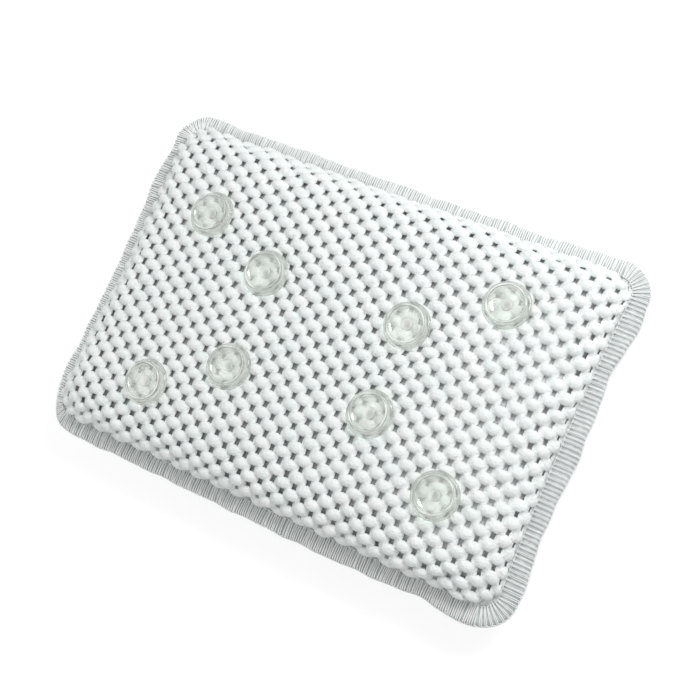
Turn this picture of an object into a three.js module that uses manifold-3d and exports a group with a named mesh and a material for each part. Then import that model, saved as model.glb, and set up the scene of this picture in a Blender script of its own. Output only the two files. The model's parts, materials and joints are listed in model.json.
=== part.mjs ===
// Bath pillow with a foam core, two covers of foam-coated mesh, an overlocked edge and eight suction cups.
// It lies on its front, the side for the head, with the cups on top. Lengths are in millimetres, +Z is up,
// X runs along the pillow and Y across it. The origin is on the surface below the pillow's middle.

import * as THREE from 'three';
import { mergeVertices } from 'three/addons/utils/BufferGeometryUtils.js';
import Module from 'manifold-3d';

// Driving dimensions of the pillow
const pillowLength = 340;
const pillowWidth = 230;
const crownHeight = 27;          // the back's top above the seam
const restFlattening = 2;        // how much the front is pressed flat where it lies
const edgeCornerRadius = 20;     // at the outer edge of the overlocked band
const crownCornerRadius = 50;    // at the corners of the broad top
const sideDrawIn = 2.5;          // how far each side pulls in between its corners
const bandWidth = 11;            // from the foot of the crown to the outer edge
const meshThickness = 5;
const flangeThickness = 1.8;     // the mesh pressed flat in the seam
const loopThreadThickness = 0.8;
const needleThreadWidth = 1.2;
const needleThreadThickness = 0.7;

// Relief of the back: knobs and hollows in turn, in the brick pattern of the mesh's foam beads. The beads
// are smaller: a knob stands for two of them.
const knobPitchX = 11.4;         // from a knob to the hollow beside it, along the pillow
const knobPitchY = 8.2;          // and across it
const hollowDepthShare = 0.6;    // of the mesh's thickness, below the knobs' tops
const knobEdgeShare = 0.915;     // the knobs end inside this level line
const fullDepthShare = 0.82;     // the hollows are as deep as that inside this one

// Driving dimensions of a suction cup
const cupFlangeRadius = 15;
const cupFlangeThickness = 0.8;
const cupHeight = 6;
const cupLipRadius = 12;         // outer radius of the sealing lip
const cupLipWidth = 0.9;
const cupDishDepth = 3.4;
const cupPipRadius = 3.6;
const cupPipHeight = 0.4;
const cupNeckRadius = 1.8;
const cupHeadRadius = 4.4;
const cupHeadThickness = 1.6;

// Clearances
const contactGap = 0.3;          // between pieces that touch
const coreClearance = 0.5;       // between the core and the covers
const neckPlay = 0.6;            // between a cup's head and the cover it holds to
const pocketClearance = 0.6;     // round a cup's head in the core
const cutOverrun = 4;            // how far a cutter passes the surface that it cuts

// The crown's section: share^flatness + height^steepness = 1, where share is 1 at the foot and 0 at the
// middle. High numbers give a broad flat top and steep sides.
const crownFlatness = 5;
const crownSteepness = 3;

// How finely the surfaces are divided
const crownRings = 8;
const flankRings = 3;            // those of the back outside its knobs
const hiddenRings = 5;           // inside the covers and on the core
const cornerSteps = 5;
const longSideSteps = 6;
const shortSideSteps = 4;
const cupSides = 24;
const cutterSides = 8;
const dishSteps = 4;
const heightSearchSteps = 40;

// Each cup's place, as shares of the crown's half length and half width
const cupPlaceShares = [
  [-0.663, 0.468],
  [-0.325, 0.248],
  [0.313, 0.266],
  [0.636, 0.584],
  [-0.604, -0.644],
  [-0.298, -0.363],
  [0.325, -0.293],
  [0.685, -0.568],
];

// Sizes that follow
const halfLength = pillowLength / 2;
const halfWidth = pillowWidth / 2;
const crownHalfLength = halfLength - bandWidth;
const crownHalfWidth = halfWidth - bandWidth;
const crownFootRadius = edgeCornerRadius - bandWidth;
const seamTop = contactGap / 2;
const flangeTop = seamTop + flangeThickness;
const flangeReach = bandWidth - loopThreadThickness - contactGap;
const seamHeight = crownHeight - restFlattening;
const hollowDepth = hollowDepthShare * meshThickness;

const material = (color, roughness, more = {}) =>
  new THREE.MeshStandardMaterial({ color, roughness, metalness: 0, ...more });

const meshMaterial = () => material(0xf1f4f2, 0.7);
const foamMaterial = () => material(0xaeb4b1, 0.95);
const threadMaterial = () => material(0xe4e9e8, 0.6);
const clearMaterial = () => material(0xdfe8e2, 0.08, { transparent: true, opacity: 0.45 });

// Sides pull in most at their middle and not at all at the corners.
function drawIn(point) {
  const alongStraight = Math.min(Math.abs(point.x) / (halfLength - edgeCornerRadius), 1);
  const acrossStraight = Math.min(Math.abs(point.y) / (halfWidth - edgeCornerRadius), 1);
  const x = point.x - sideDrawIn * point.x / halfLength * (1 - acrossStraight ** 2);
  const y = point.y - sideDrawIn * point.y / halfWidth * (1 - alongStraight ** 2);
  return new THREE.Vector3(x, y, point.z);
}

// One level line: a rectangle with round corners, counterclockwise seen from above.
function roundedRing(halfX, halfY, cornerRadius, z) {
  const radius = Math.min(cornerRadius, halfX, halfY);
  const corners = [[1, -1], [1, 1], [-1, 1], [-1, -1]];
  const ring = [];
  corners.forEach(([sideX, sideY], quarter) => {
    const centreX = sideX * (halfX - radius);
    const centreY = sideY * (halfY - radius);
    for (let step = 0; step <= cornerSteps; step += 1) {
      const angle = (quarter - 1 + step / cornerSteps) * Math.PI / 2;
      const x = centreX + radius * Math.cos(angle);
      const y = centreY + radius * Math.sin(angle);
      ring.push(new THREE.Vector3(x, y, z));
    }
    const sideSteps = quarter % 2 === 0 ? shortSideSteps : longSideSteps;
    const from = ring[ring.length - 1];
    const alongX = quarter % 2 === 0 ? 0 : -2 * sideX * (halfX - radius);
    const alongY = quarter % 2 === 0 ? -2 * sideY * (halfY - radius) : 0;
    for (let step = 1; step < sideSteps; step += 1) {
      const share = step / sideSteps;
      ring.push(new THREE.Vector3(from.x + alongX * share, from.y + alongY * share, z));
    }
  });
  return ring.map(drawIn);
}

// A level line beside the crown's foot, offset outwards in the plane of the seam.
const offsetRing = (offset, z) =>
  roundedRing(crownHalfLength + offset, crownHalfWidth + offset, crownFootRadius + offset, z);

// A level line's corners grow rounder as the crown rises from its foot.
const levelCornerRadius = (footRadius, share, rise) =>
  share * (footRadius + (crownCornerRadius - footRadius) * rise);

// The level lines of a crown from its foot to its last ring, then its middle as a single point.
// inset draws the foot inwards, height is the crown's own, and limit presses it flat.
function crownRingsUp(inset, footHeight, height, limit, ringCount) {
  const footLength = crownHalfLength - inset;
  const footWidth = crownHalfWidth - inset;
  const rings = [];
  for (let step = 0; step < ringCount; step += 1) {
    const angle = step / ringCount * Math.PI / 2;
    const share = Math.cos(angle) ** (2 / crownFlatness);
    const rise = Math.sin(angle) ** (2 / crownSteepness);
    const footRadius = Math.max(crownFootRadius - inset, contactGap);
    const radius = levelCornerRadius(footRadius, share, rise);
    const z = Math.min(footHeight + (height - footHeight) * rise, limit);
    rings.push(roundedRing(share * footLength, share * footWidth, radius, z));
  }
  rings.push([new THREE.Vector3(0, 0, Math.min(height, limit))]);
  return rings;
}

const turnedOver = (rings) =>
  rings.map((ring) => ring.map((point) => new THREE.Vector3(point.x, point.y, -point.z)));

// A closed surface through level lines: the upper side outwards, then the lower side inwards.
// It starts and ends at single points, or returns to its first line when it is a hoop.
function lofted(rings, isHoop = false) {
  const positions = rings.flat().flatMap((point) => [point.x, point.y, point.z]);
  const starts = [];
  rings.reduce((start, ring) => {
    starts.push(start);
    return start + ring.length;
  }, 0);
  const faces = [];
  const spans = isHoop ? rings.length : rings.length - 1;
  for (let span = 0; span < spans; span += 1) {
    const next = (span + 1) % rings.length;
    const count = Math.max(rings[span].length, rings[next].length);
    const at = (ring, side) => starts[ring] + (rings[ring].length === 1 ? 0 : side % count);
    for (let side = 0; side < count; side += 1) {
      if (rings[next].length > 1) {
        faces.push(at(span, side), at(next, side), at(next, side + 1));
      }
      if (rings[span].length > 1) {
        faces.push(at(span, side), at(next, side + 1), at(span, side + 1));
      }
    }
  }
  const geometry = new THREE.BufferGeometry();
  geometry.setAttribute('position', new THREE.Float32BufferAttribute(positions, 3));
  geometry.setIndex(faces);
  geometry.computeVertexNormals();
  return geometry;
}

const wasm = await Module();
wasm.setup();

function solidOf(geometry) {
  const plain = geometry.clone();
  plain.deleteAttribute('normal');
  plain.deleteAttribute('uv');
  const merged = mergeVertices(plain);
  const vertProperties = new Float32Array(merged.attributes.position.array);
  const triVerts = new Uint32Array(merged.index.array);
  return new wasm.Manifold(new wasm.Mesh({ numProp: 3, vertProperties, triVerts }));
}

function geometryOf(solid) {
  const mesh = solid.getMesh();
  const geometry = new THREE.BufferGeometry();
  geometry.setAttribute('position', new THREE.Float32BufferAttribute(mesh.vertProperties, mesh.numProp));
  geometry.setIndex(Array.from(mesh.triVerts));
  geometry.computeVertexNormals();
  return geometry;
}

const without = (geometry, cutters) =>
  geometryOf(cutters.reduce((solid, cutter) => solid.subtract(solidOf(cutter)), solidOf(geometry)));

const riseAt = (share) => (1 - share ** crownFlatness) ** (1 / crownSteepness);

// Whether a place lies outside the level line at a share of the way from the middle to the foot.
function isOutsideLevel(x, y, share) {
  const halfX = share * crownHalfLength;
  const halfY = share * crownHalfWidth;
  const radius = Math.min(levelCornerRadius(crownFootRadius, share, riseAt(share)), halfX, halfY);
  const beyondX = Math.abs(x) - (halfX - radius);
  const beyondY = Math.abs(y) - (halfY - radius);
  const pastCorner = Math.hypot(Math.max(beyondX, 0), Math.max(beyondY, 0));
  return pastCorner + Math.min(Math.max(beyondX, beyondY), 0) > radius;
}

// The share of the level line through a place, found by halving the span of level lines.
function levelShareAt(x, y) {
  let low = 0;
  let high = 1;
  for (let step = 0; step < heightSearchSteps; step += 1) {
    const share = (low + high) / 2;
    if (isOutsideLevel(x, y, share)) {
      low = share;
    } else {
      high = share;
    }
  }
  return high;
}

// The outer crown's height above the seam at a place
const crownHeightAt = (x, y) => flangeTop + (crownHeight - flangeTop) * riseAt(levelShareAt(x, y));

// Where a cup's flange lies on the crown, and which way the cup points.
function cupPlacement([alongShare, acrossShare]) {
  const x = alongShare * crownHalfLength;
  const y = acrossShare * crownHalfWidth;
  const reach = cupFlangeRadius;
  const slopeX = (crownHeightAt(x + reach, y) - crownHeightAt(x - reach, y)) / (2 * reach);
  const slopeY = (crownHeightAt(x, y + reach) - crownHeightAt(x, y - reach)) / (2 * reach);
  const normal = new THREE.Vector3(-slopeX, -slopeY, 1).normalize();
  const place = drawIn(new THREE.Vector3(x, y, crownHeightAt(x, y)));
  const turn = new THREE.Quaternion().setFromUnitVectors(new THREE.Vector3(0, 0, 1), normal);
  return { position: place.addScaledVector(normal, contactGap), turn };
}

const cupPlacements = cupPlaceShares.map(cupPlacement);
const cupNeckLength = meshThickness + contactGap + neckPlay;

// A round cutter on a cup's axis between two heights above the underside of its flange.
function cupCutter(placement, radius, bottom, top) {
  const cutter = new THREE.CylinderGeometry(radius, radius, top - bottom, cutterSides);
  cutter.scale(1 / Math.cos(Math.PI / cutterSides), 1, 1 / Math.cos(Math.PI / cutterSides));
  cutter.rotateX(Math.PI / 2);
  cutter.translate(0, 0, (top + bottom) / 2);
  cutter.applyQuaternion(placement.turn);
  cutter.translate(placement.position.x, placement.position.y, placement.position.z);
  return cutter;
}

// A cover: the crown outside, the flange in the seam and the hollow that the core fills.
function coverRings(limit) {
  const outer = crownRingsUp(0, flangeTop, crownHeight, limit, crownRings).reverse();
  const innerHeight = crownHeight - meshThickness;
  const inner = crownRingsUp(meshThickness, seamTop, innerHeight, limit - meshThickness, hiddenRings);
  return [...outer, offsetRing(flangeReach, flangeTop), offsetRing(flangeReach, seamTop), ...inner];
}

// Knobs and hollows lie on a grid of columns and rows, and a knob's four neighbours are hollows.
const knobNeighbours = [[1, 0], [0, 1], [-1, 0], [0, -1]];
const gridShareAt = (column, row) => levelShareAt(column * knobPitchX, row * knobPitchY);
const isKnobPlace = (column, row) => (column + row) % 2 === 0;

const isKnob = (column, row) =>
  isKnobPlace(column, row)
  && knobNeighbours.every(([right, up]) => gridShareAt(column + right, row + up) < knobEdgeShare);

function gridPoint(column, row) {
  const x = column * knobPitchX;
  const y = row * knobPitchY;
  const fromEdge = (knobEdgeShare - gridShareAt(column, row)) / (knobEdgeShare - fullDepthShare);
  const depth = isKnobPlace(column, row) ? 0 : hollowDepth * Math.min(Math.max(fromEdge, 0), 1);
  return drawIn(new THREE.Vector3(x, y, crownHeightAt(x, y) - depth));
}

function facingUp([a, b, c]) {
  const turn = (b.x - a.x) * (c.y - a.y) - (b.y - a.y) * (c.x - a.x);
  return turn < 0 ? [a, c, b] : [a, b, c];
}

function knobPlaces() {
  const columns = Math.ceil(crownHalfLength / knobPitchX);
  const rows = Math.ceil(crownHalfWidth / knobPitchY);
  const places = [];
  for (let column = -columns; column <= columns; column += 1) {
    for (let row = -rows; row <= rows; row += 1) {
      if (isKnob(column, row)) {
        places.push([column, row]);
      }
    }
  }
  return places;
}

// The top inside a level line: a low pyramid at each knob, and a border out to the line.
function knobbedTop(levelLine) {
  const faces = [];
  const borderSteps = new Map();
  knobPlaces().forEach(([column, row]) => {
    knobNeighbours.forEach(([right, up], side) => {
      const [nextRight, nextUp] = knobNeighbours[(side + 1) % knobNeighbours.length];
      const from = [column + right, row + up];
      const to = [column + nextRight, row + nextUp];
      faces.push([gridPoint(column, row), gridPoint(...from), gridPoint(...to)]);
      if (!isKnob(column + right + nextRight, row + up + nextUp)) {
        borderSteps.set(from.join(), to);
      }
    });
  });
  const border = [];
  let [place] = borderSteps.values();
  while (border.length < borderSteps.size) {
    border.push(gridPoint(...place));
    place = borderSteps.get(place.join());
  }
  const points = [...levelLine, ...border];
  const onPlan = (point) => new THREE.Vector2(point.x, point.y);
  THREE.ShapeUtils.triangulateShape(levelLine.map(onPlan), [border.map(onPlan)])
    .forEach((corners) => faces.push(corners.map((corner) => points[corner])));
  return faces.map(facingUp);
}

function closedBy(geometry, faces) {
  const more = faces.flat().flatMap((point) => [point.x, point.y, point.z]);
  const positions = [...geometry.toNonIndexed().attributes.position.array, ...more];
  const closed = new THREE.BufferGeometry();
  closed.setAttribute('position', new THREE.Float32BufferAttribute(positions, 3));
  return closed;
}

function backCover() {
  const holes = cupPlacements.map((placement) =>
    cupCutter(placement, cupNeckRadius + contactGap, -meshThickness - cutOverrun, cutOverrun));
  const rings = coverRings(crownHeight).slice(crownRings - flankRings);
  return without(closedBy(lofted(rings), knobbedTop(rings[0])), holes);
}

const frontCover = () => lofted(turnedOver(coverRings(seamHeight)).reverse());

function foamCore() {
  const inset = meshThickness + coreClearance;
  const height = crownHeight - inset;
  const top = crownRingsUp(inset, 0, height, height, hiddenRings).reverse();
  const bottom = turnedOver(crownRingsUp(inset, 0, height, seamHeight - inset, hiddenRings));
  const pocketFloor = -cupNeckLength - cupHeadThickness - pocketClearance;
  const pockets = cupPlacements.map((placement) =>
    cupCutter(placement, cupHeadRadius + pocketClearance, pocketFloor, cutOverrun));
  return without(lofted([...top, ...bottom.slice(1)]), pockets);
}

// Needle thread: a line of stitches on the flange, close to the crown's foot.
const needleInner = contactGap;
const needleOuter = needleInner + needleThreadWidth;

function needleThread() {
  const bottom = flangeTop + contactGap;
  const top = bottom + needleThreadThickness;
  const corners = [[needleInner, top], [needleOuter, top], [needleOuter, bottom], [needleInner, bottom]];
  return lofted(corners.map(([offset, z]) => offsetRing(offset, z)), true);
}

// Looper thread: over the flange from the needle thread to the edge, then down the edge to the seam.
function looperRings() {
  const inner = needleOuter + contactGap;
  const webInner = flangeReach + contactGap;
  const legBottom = flangeTop + contactGap;
  const legTop = legBottom + loopThreadThickness;
  const corners = [
    [inner, legTop],
    [bandWidth, legTop],
    [bandWidth, seamTop],
    [webInner, seamTop],
    [webInner, legBottom],
    [inner, legBottom],
  ];
  return corners.map(([offset, z]) => offsetRing(offset, z));
}

const upperLooperThread = () => lofted(looperRings(), true);
const lowerLooperThread = () => lofted(turnedOver(looperRings()).reverse(), true);

// Suction cup, as a section from the middle of its head to the middle of its dish
function suctionCup() {
  const headTop = -cupNeckLength;
  const headBottom = headTop - cupHeadThickness;
  const headEdge = cupHeadRadius - cupHeadThickness / 2;
  const dishRadius = cupLipRadius - cupLipWidth;
  const dishFloor = cupHeight - cupDishDepth;
  const flankFoot = (cupFlangeRadius + cupLipRadius) / 2;
  const flankWaist = (flankFoot + 2 * cupLipRadius) / 3;
  const section = [
    [0, headBottom],
    [headEdge, headBottom],
    [cupHeadRadius, (headBottom + headTop) / 2],
    [cupHeadRadius, headTop],
    [cupNeckRadius, headTop],
    [cupNeckRadius, 0],
    [cupFlangeRadius, 0],
    [cupFlangeRadius, cupFlangeThickness / 2],
    [cupFlangeRadius - cupFlangeThickness / 2, cupFlangeThickness],
    [flankFoot, 2 * cupFlangeThickness],
    [flankWaist, cupHeight / 2],
    [cupLipRadius, cupHeight - cupLipWidth / 2],
    [cupLipRadius, cupHeight],
    [dishRadius, cupHeight],
  ];
  for (let step = 1; step <= dishSteps; step += 1) {
    const angle = step / dishSteps * Math.PI / 2;
    const radius = cupPipRadius + (dishRadius - cupPipRadius) * Math.cos(angle);
    section.push([radius, cupHeight - cupDishDepth * Math.sin(angle)]);
  }
  section.push([cupPipRadius - cupPipHeight, dishFloor + cupPipHeight]);
  section.push([0, dishFloor + cupPipHeight]);
  const cup = new THREE.LatheGeometry(section.map(([radius, z]) => new THREE.Vector2(radius, z)), cupSides);
  cup.rotateX(Math.PI / 2);
  return cup;
}

function namedMesh(name, geometry, meshLook) {
  const mesh = new THREE.Mesh(geometry, meshLook);
  mesh.name = name;
  return mesh;
}

const pillow = new THREE.Group();
pillow.position.z = seamHeight;
pillow.add(namedMesh('front_cover', frontCover(), meshMaterial()));
pillow.add(namedMesh('back_cover', backCover(), meshMaterial()));
pillow.add(namedMesh('foam_core', foamCore(), foamMaterial()));
pillow.add(namedMesh('needle_thread', needleThread(), threadMaterial()));
pillow.add(namedMesh('upper_looper_thread', upperLooperThread(), threadMaterial()));
pillow.add(namedMesh('lower_looper_thread', lowerLooperThread(), threadMaterial()));

cupPlacements.forEach((placement, index) => {
  const cup = namedMesh(`suction_cup_${index + 1}`, suctionCup(), clearMaterial());
  cup.position.copy(placement.position);
  cup.quaternion.copy(placement.turn);
  pillow.add(cup);
});

export default pillow;
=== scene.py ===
import json
import math

import bpy
import numpy as np
from mathutils import Matrix, Vector, kdtree

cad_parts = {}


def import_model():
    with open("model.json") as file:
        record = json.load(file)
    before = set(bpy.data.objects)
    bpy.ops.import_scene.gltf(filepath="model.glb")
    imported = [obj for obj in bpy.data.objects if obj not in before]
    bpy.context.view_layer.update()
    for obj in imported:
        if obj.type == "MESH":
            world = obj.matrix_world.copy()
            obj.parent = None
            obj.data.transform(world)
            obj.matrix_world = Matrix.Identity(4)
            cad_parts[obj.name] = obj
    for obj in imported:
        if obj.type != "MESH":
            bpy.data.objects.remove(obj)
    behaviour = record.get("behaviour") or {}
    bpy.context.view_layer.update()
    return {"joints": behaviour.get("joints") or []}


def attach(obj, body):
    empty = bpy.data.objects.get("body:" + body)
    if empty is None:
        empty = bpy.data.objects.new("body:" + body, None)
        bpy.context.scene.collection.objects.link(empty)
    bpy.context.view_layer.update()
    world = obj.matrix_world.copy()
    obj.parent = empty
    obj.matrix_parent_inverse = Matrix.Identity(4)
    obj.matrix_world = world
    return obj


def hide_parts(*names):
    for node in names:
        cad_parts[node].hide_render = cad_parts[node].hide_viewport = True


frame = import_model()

# Bath pillow lying on its head side, cups up. Lengths are in metres, X along it and Y across it.

scene = bpy.context.scene
SEED = 26
TINY = 1e-9

# Outline and crown, as in the CAD source but for the draw-in of the long sides
HALF_X = 0.170
HALF_Y = 0.115
EDGE_CORNER = 0.02
SIDE_DRAW_IN = 0.0025
FAR_DRAW_IN, NEAR_DRAW_IN = 0.0013, -0.0012  # of the long sides: the near one stands out a little
SEAM = 0.025  # height of the seam plane
CROWN_HALF_X = 0.159
CROWN_HALF_Y = 0.104
FOOT_CORNER = 0.009
CROWN_CORNER = 0.05
FLANGE_TOP = 0.00195  # above the seam plane
CROWN_HEIGHT = 0.027  # above the seam plane
CROWN_FLATNESS = 5
CROWN_STEEPNESS = 3
BAND = HALF_X - CROWN_HALF_X

# Mesh of foam beads: a bead has a hole on its left, right, top and bottom
HOLE_PITCH_X = 0.00765
HOLE_PITCH_Y = 0.0055
FIRST_HOLE_X = 0.01492  # place of hole 0, 0 along the surface
FIRST_HOLE_Y = -0.00418
STRETCH_X, STRETCH_Y = 0.0016, 0.0004  # how far the mesh is pulled out at its ends,
END_STRETCH_X, END_STRETCH_Y = 0.0043, 0.0005  # evenly, and close to the seam only
SKEW_X, SKEW_Y = -0.00245, 0.00124  # how far its rows and columns lean
TWIST_X, TWIST_Y = 0.0018, 0.0013  # towards one corner
BOW_X, BOW_Y = -0.0005, -0.0016  # and how far they bow
WAIST_X, WAIST_Y = -0.0021, -0.0014  # less stretch at the ends of the other sides
HOLE_HALF_X = 0.00158
HOLE_HALF_Y = 0.00208
HOLE_LEAN = 0.06
SEAM_HOLE, SEAM_HOLE_REACH = 0.75, 0.022  # of the holes near the seam
EDGE_BOW = 0.12  # share by which a hole's edges bow into it
SPARE_HOLES = 4  # rows and columns of holes past the seam
PAST_END, PAST_SIDE = 0.0068, 0.0046  # how far past the seam beads still start
BEAD_HALF_X = 0.0051  # of the egg that a bead's rings follow
BEAD_HALF_Y = 0.0037
RING_SHARES = (0.95, 0.76, 0.42)
DOME_POWER = 2.2
BEAD_PROUD = 0.0005  # bead tops above the CAD surface
BEAD_RISE = 0.003  # bead top above its creases
BEAD_DROP = 0.0012  # bead bottom below its creases
CREASE_HALF = 0.0003
CREASE_SADDLE = 0.0012  # creases rise between two holes
SEAM_SOFTNESS = 0.002  # reach of the squeeze of the mesh at the seam
REST_SOFTNESS = 0.0006
REST_GAP = 0.0001
FLANK_BULGE = 0.0018  # how far the steep flank stands out over the seam
BULGE_START = 0.2  # share of the crown's height by which it is that far out
FLATTENED, SEAM_RISE = 0.016, 0.4  # beads this near the seam are flatter, down to this share

# How uneven the mesh is
HOLE_STRAY = 0.00014
HOLE_SIZE_SPREAD, HOLE_TURN_SPREAD, HOLE_LEAN_SPREAD = 0.07, 0.05, 0.03
CREASE_STRAY = 0.0001
BEAD_STRAY = 0.00018
BEAD_RISE_SPREAD = 0.05
BEAD_TILT_SPREAD, TILT_ARM = 0.03, 0.005  # share of the rise, this far from the bead's middle

# Serged band
STITCH_PITCH = 0.0029
STEPS_PER_STITCH = 4
THREAD_RADIUS = 0.00048
PAIRED_RADIUS = 0.00027
NEEDLE_RADIUS = 0.00028
NEEDLE_OUT = 0.001
NEEDLE_LOW, NEEDLE_LIFT = 0.00195, 0.00065  # above the seam plane
STITCHES_SPACED_AT = 0.008  # outside the crown's foot, where they are even
FLANGE_SECTION = (  # out from the crown's foot, height above the seam plane
    (-0.0008, 0.0019), (0.0004, 0.00165), (0.0011, 0.00125), (0.0024, 0.0016), (0.0046, 0.00175),
    (0.0064, 0.00168), (0.0082, 0.0015), (0.0096, 0.0012), (0.0104, 0.0006), (0.0104, 0.00018),
    (0.008, 0.00015), (0.004, 0.00015), (-0.0046, 0.00015),
)
SKIRT_SECTION = ((-0.005, 0.0026), (-0.003, 0.003))  # out from the flank, under the beads
FLANGE_TOP_ABOVE = 0.001  # what is higher is rough and pressed
FLANGE_ROUGH, FLANGE_PRESS = 0.00006, 0.00009
FLANGE_EDGE_FROM, EDGE_PULL = 0.009, 0.00022
UP_WAVES = ((0.00045, 23, 0.6), (0.00035, 37, 2.1), (0.0003, 11, 0.0))  # height, waves all round, phase
OUT_WAVES = ((0.00028, 31, 1.3), (0.00022, 53, 0.2))
EDGE_BULGES = (  # place on the plan, reach, and how far the outer edge stands out there
    (-0.168, 0.056, 0.018, 0.0022), (-0.167, -0.056, 0.022, -0.0008), (-0.17, -0.098, 0.018, -0.0028),
    (0.045, -0.115, 0.05, 0.0009), (0.119, -0.115, 0.01, -0.0014), (0.14, -0.115, 0.014, 0.0026),
    (0.17, -0.086, 0.02, 0.0023), (0.167, -0.003, 0.03, 0.0026), (0.168, 0.05, 0.012, -0.0013),
    (0.169, 0.08, 0.018, 0.0028), (0.171, 0.095, 0.008, -0.0008), (-0.165, -0.109, 0.012, -0.003),
    (-0.166, 0.107, 0.015, -0.0023), (0.16, -0.109, 0.02, 0.0007), (0.095, 0.114, 0.018, -0.0014),
    (-0.12, 0.114, 0.03, -0.0018), (-0.04, 0.114, 0.03, -0.001), (0.035, 0.114, 0.03, -0.0012),
    (-0.136, -0.112, 0.02, 0.0008),
)
LEG_PATH = (  # along in shares of the legs' spread, out from the foot, above the seam plane
    (-1.0, 0.01085, 0.00075), (-1.0, 0.01035, 0.00165), (-1.0, 0.0086, 0.00208), (-0.95, 0.006, 0.0022),
    (-0.9, 0.0034, 0.00214), (-0.7, 0.0012, 0.0019),
)
LOOP_PATH = LEG_PATH + ((0.0, 0.0003, 0.0018),) + tuple((-along, *rest) for along, *rest in LEG_PATH[::-1])
LOOP_TURN = (0.01095, 0.00058)  # out and height half-way to the next loop
PAIRED_SPREAD, EVEN_SPREAD = 0.13, 0.25  # half the distance of a loop's legs, in stitches
PAIRED_FROM, PAIRED_FADE = 0.146, 0.012  # along the pillow, where the legs draw together
LOOSENESS = 1.6  # how much more uneven the loops are elsewhere
LOOP_SLANT, LOOP_SHIFT, LOOP_REACH, SPREAD_SPREAD = 0.05, 0.04, 0.00018, 0.02

# Core
CORE_INSET = 0.005  # below the cover's top
CORE_SIDE_INSET = 0.0038
POCKET_GAP, POCKET_MARGIN = 0.0006, 0.0026  # under a cup's head and round it
POCKET_SLOPE, POCKET_REACH = 2.5, 0.012
BLOCK_RINGS = 44
BLOCK_CORNER_STEPS = 18
BLOCK_SIDE_STEPS = (32, 52, 32, 52)
BLOCK_LEAST_CORNER = 0.002
BLOCK_LEAST_HEIGHT = 0.0012

# Swelling of the covers, as cloth under pressure
FORM_VOXEL = 0.005
SWELL_PRESSURE = 30.0
SWELL_FRAMES = 20
SPARE_CLOTH = 0.03  # share by which the cloth is larger than the form
TOP_HOLD = 0.95  # how firmly the core holds the broad top,
TOP_EDGE, TOP_FADE = 0.93, 0.15  # which ends at this share of the crown's plan
SWELL_LIMIT = 0.0018
SEAM_HOLD = 0.003  # held this near the seam plane
CUP_HOLD = 0.024  # hardly moving this near a cup
SWELL_COLUMNS, SWELL_ROWS = 69, 47

# Suction cups, as in the CAD source
CUP_FLANGE_RADIUS = 0.015
CUP_FLANGE_THICKNESS = 0.0008
CUP_HEIGHT = 0.006
CUP_LIP_RADIUS = 0.012
CUP_LIP_WIDTH = 0.0009
CUP_DISH_DEPTH = 0.0034
CUP_PIP_RADIUS = 0.0036
CUP_PIP_HEIGHT = 0.0004
CUP_NECK_RADIUS = 0.0018
CUP_NECK_LENGTH = 0.0059
CUP_HEAD_RADIUS = 0.0044
CUP_HEAD_THICKNESS = 0.0016
CUP_FLAT_RADIUS = 0.0016  # of the flat middles of head and pip
CUP_FILLET = 0.0002
CUP_NECK_FILLET = 0.0005
CUP_FOOT_FILLET = 0.0008
CUP_SIDES = 64
NECK_ROOM = 0.0005  # round a neck in its mesh hole
NECK_PULL = 0.01  # reach of the pull on the mesh round a neck
PRESS_GAP = 0.00012  # between a cup's flange and the beads under it
PRESS_MARGIN, PRESS_REACH, PRESS_DEPTH, PRESS_SLOPE = 0.0002, 0.003, 0.01, 1.6


# --- crown surface ---

def level_rise(share):
    return np.maximum(1 - share ** CROWN_FLATNESS, 0) ** (1 / CROWN_STEEPNESS)


def level_corner(share):
    return share * (FOOT_CORNER + (CROWN_CORNER - FOOT_CORNER) * level_rise(share))


def past_corner(x, y, share):
    """How far a point lies past the middle of a level line's nearest corner, and that corner's radius."""
    corner = level_corner(share)
    over_x = np.abs(x) - share * CROWN_HALF_X + corner
    over_y = np.abs(y) - share * CROWN_HALF_Y + corner
    return over_x, over_y, corner


def outside_level(x, y, share):
    """Distance of a point outside the crown's level line of that share."""
    over_x, over_y, corner = past_corner(x, y, share)
    past_x, past_y = np.maximum(over_x, 0), np.maximum(over_y, 0)
    return np.hypot(past_x, past_y) + np.minimum(np.maximum(over_x, over_y), 0) - corner


def share_at(x, y):
    """The share of the level line that a point lies on, found by halving."""
    low, high = np.zeros_like(x), np.ones_like(x)
    for _ in range(34):
        middle = (low + high) / 2
        outside = outside_level(x, y, middle) > 0
        low = np.where(outside, middle, low)
        high = np.where(outside, high, middle)
    return high


def way_out(x, y, share):
    """Unit vector out of the level line at a point on it."""
    over_x, over_y, _ = past_corner(x, y, share)
    flat = (over_x <= 0) & (over_y <= 0)
    out_x = np.where(flat, over_x >= over_y, np.maximum(over_x, 0))
    out_y = np.where(flat, over_x < over_y, np.maximum(over_y, 0))
    size = np.maximum(np.hypot(out_x, out_y), 1e-12)
    return np.sign(x) * out_x / size, np.sign(y) * out_y / size


def arc_table(half):
    """Lengths along the crown's middle section from its top, and the places there."""
    share = 1 - (1 - np.linspace(0, 1, 4001)) ** 3
    place = share * half
    height = (CROWN_HEIGHT - FLANGE_TOP) * level_rise(share)
    steps = np.hypot(np.diff(place), np.diff(height))
    return np.r_[0, np.cumsum(steps)], place


ARC_X, PLACE_X = arc_table(CROWN_HALF_X)
ARC_Y, PLACE_Y = arc_table(CROWN_HALF_Y)
SPAN_X, SPAN_Y = ARC_X[-1], ARC_Y[-1]


def softplus(value):
    return np.logaddexp(0, value)


def squeeze(along, span):
    """Lengths past the span are squeezed against it."""
    inside = (span - np.abs(along)) / SEAM_SOFTNESS
    return np.sign(along) * (span - SEAM_SOFTNESS * softplus(inside))


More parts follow.
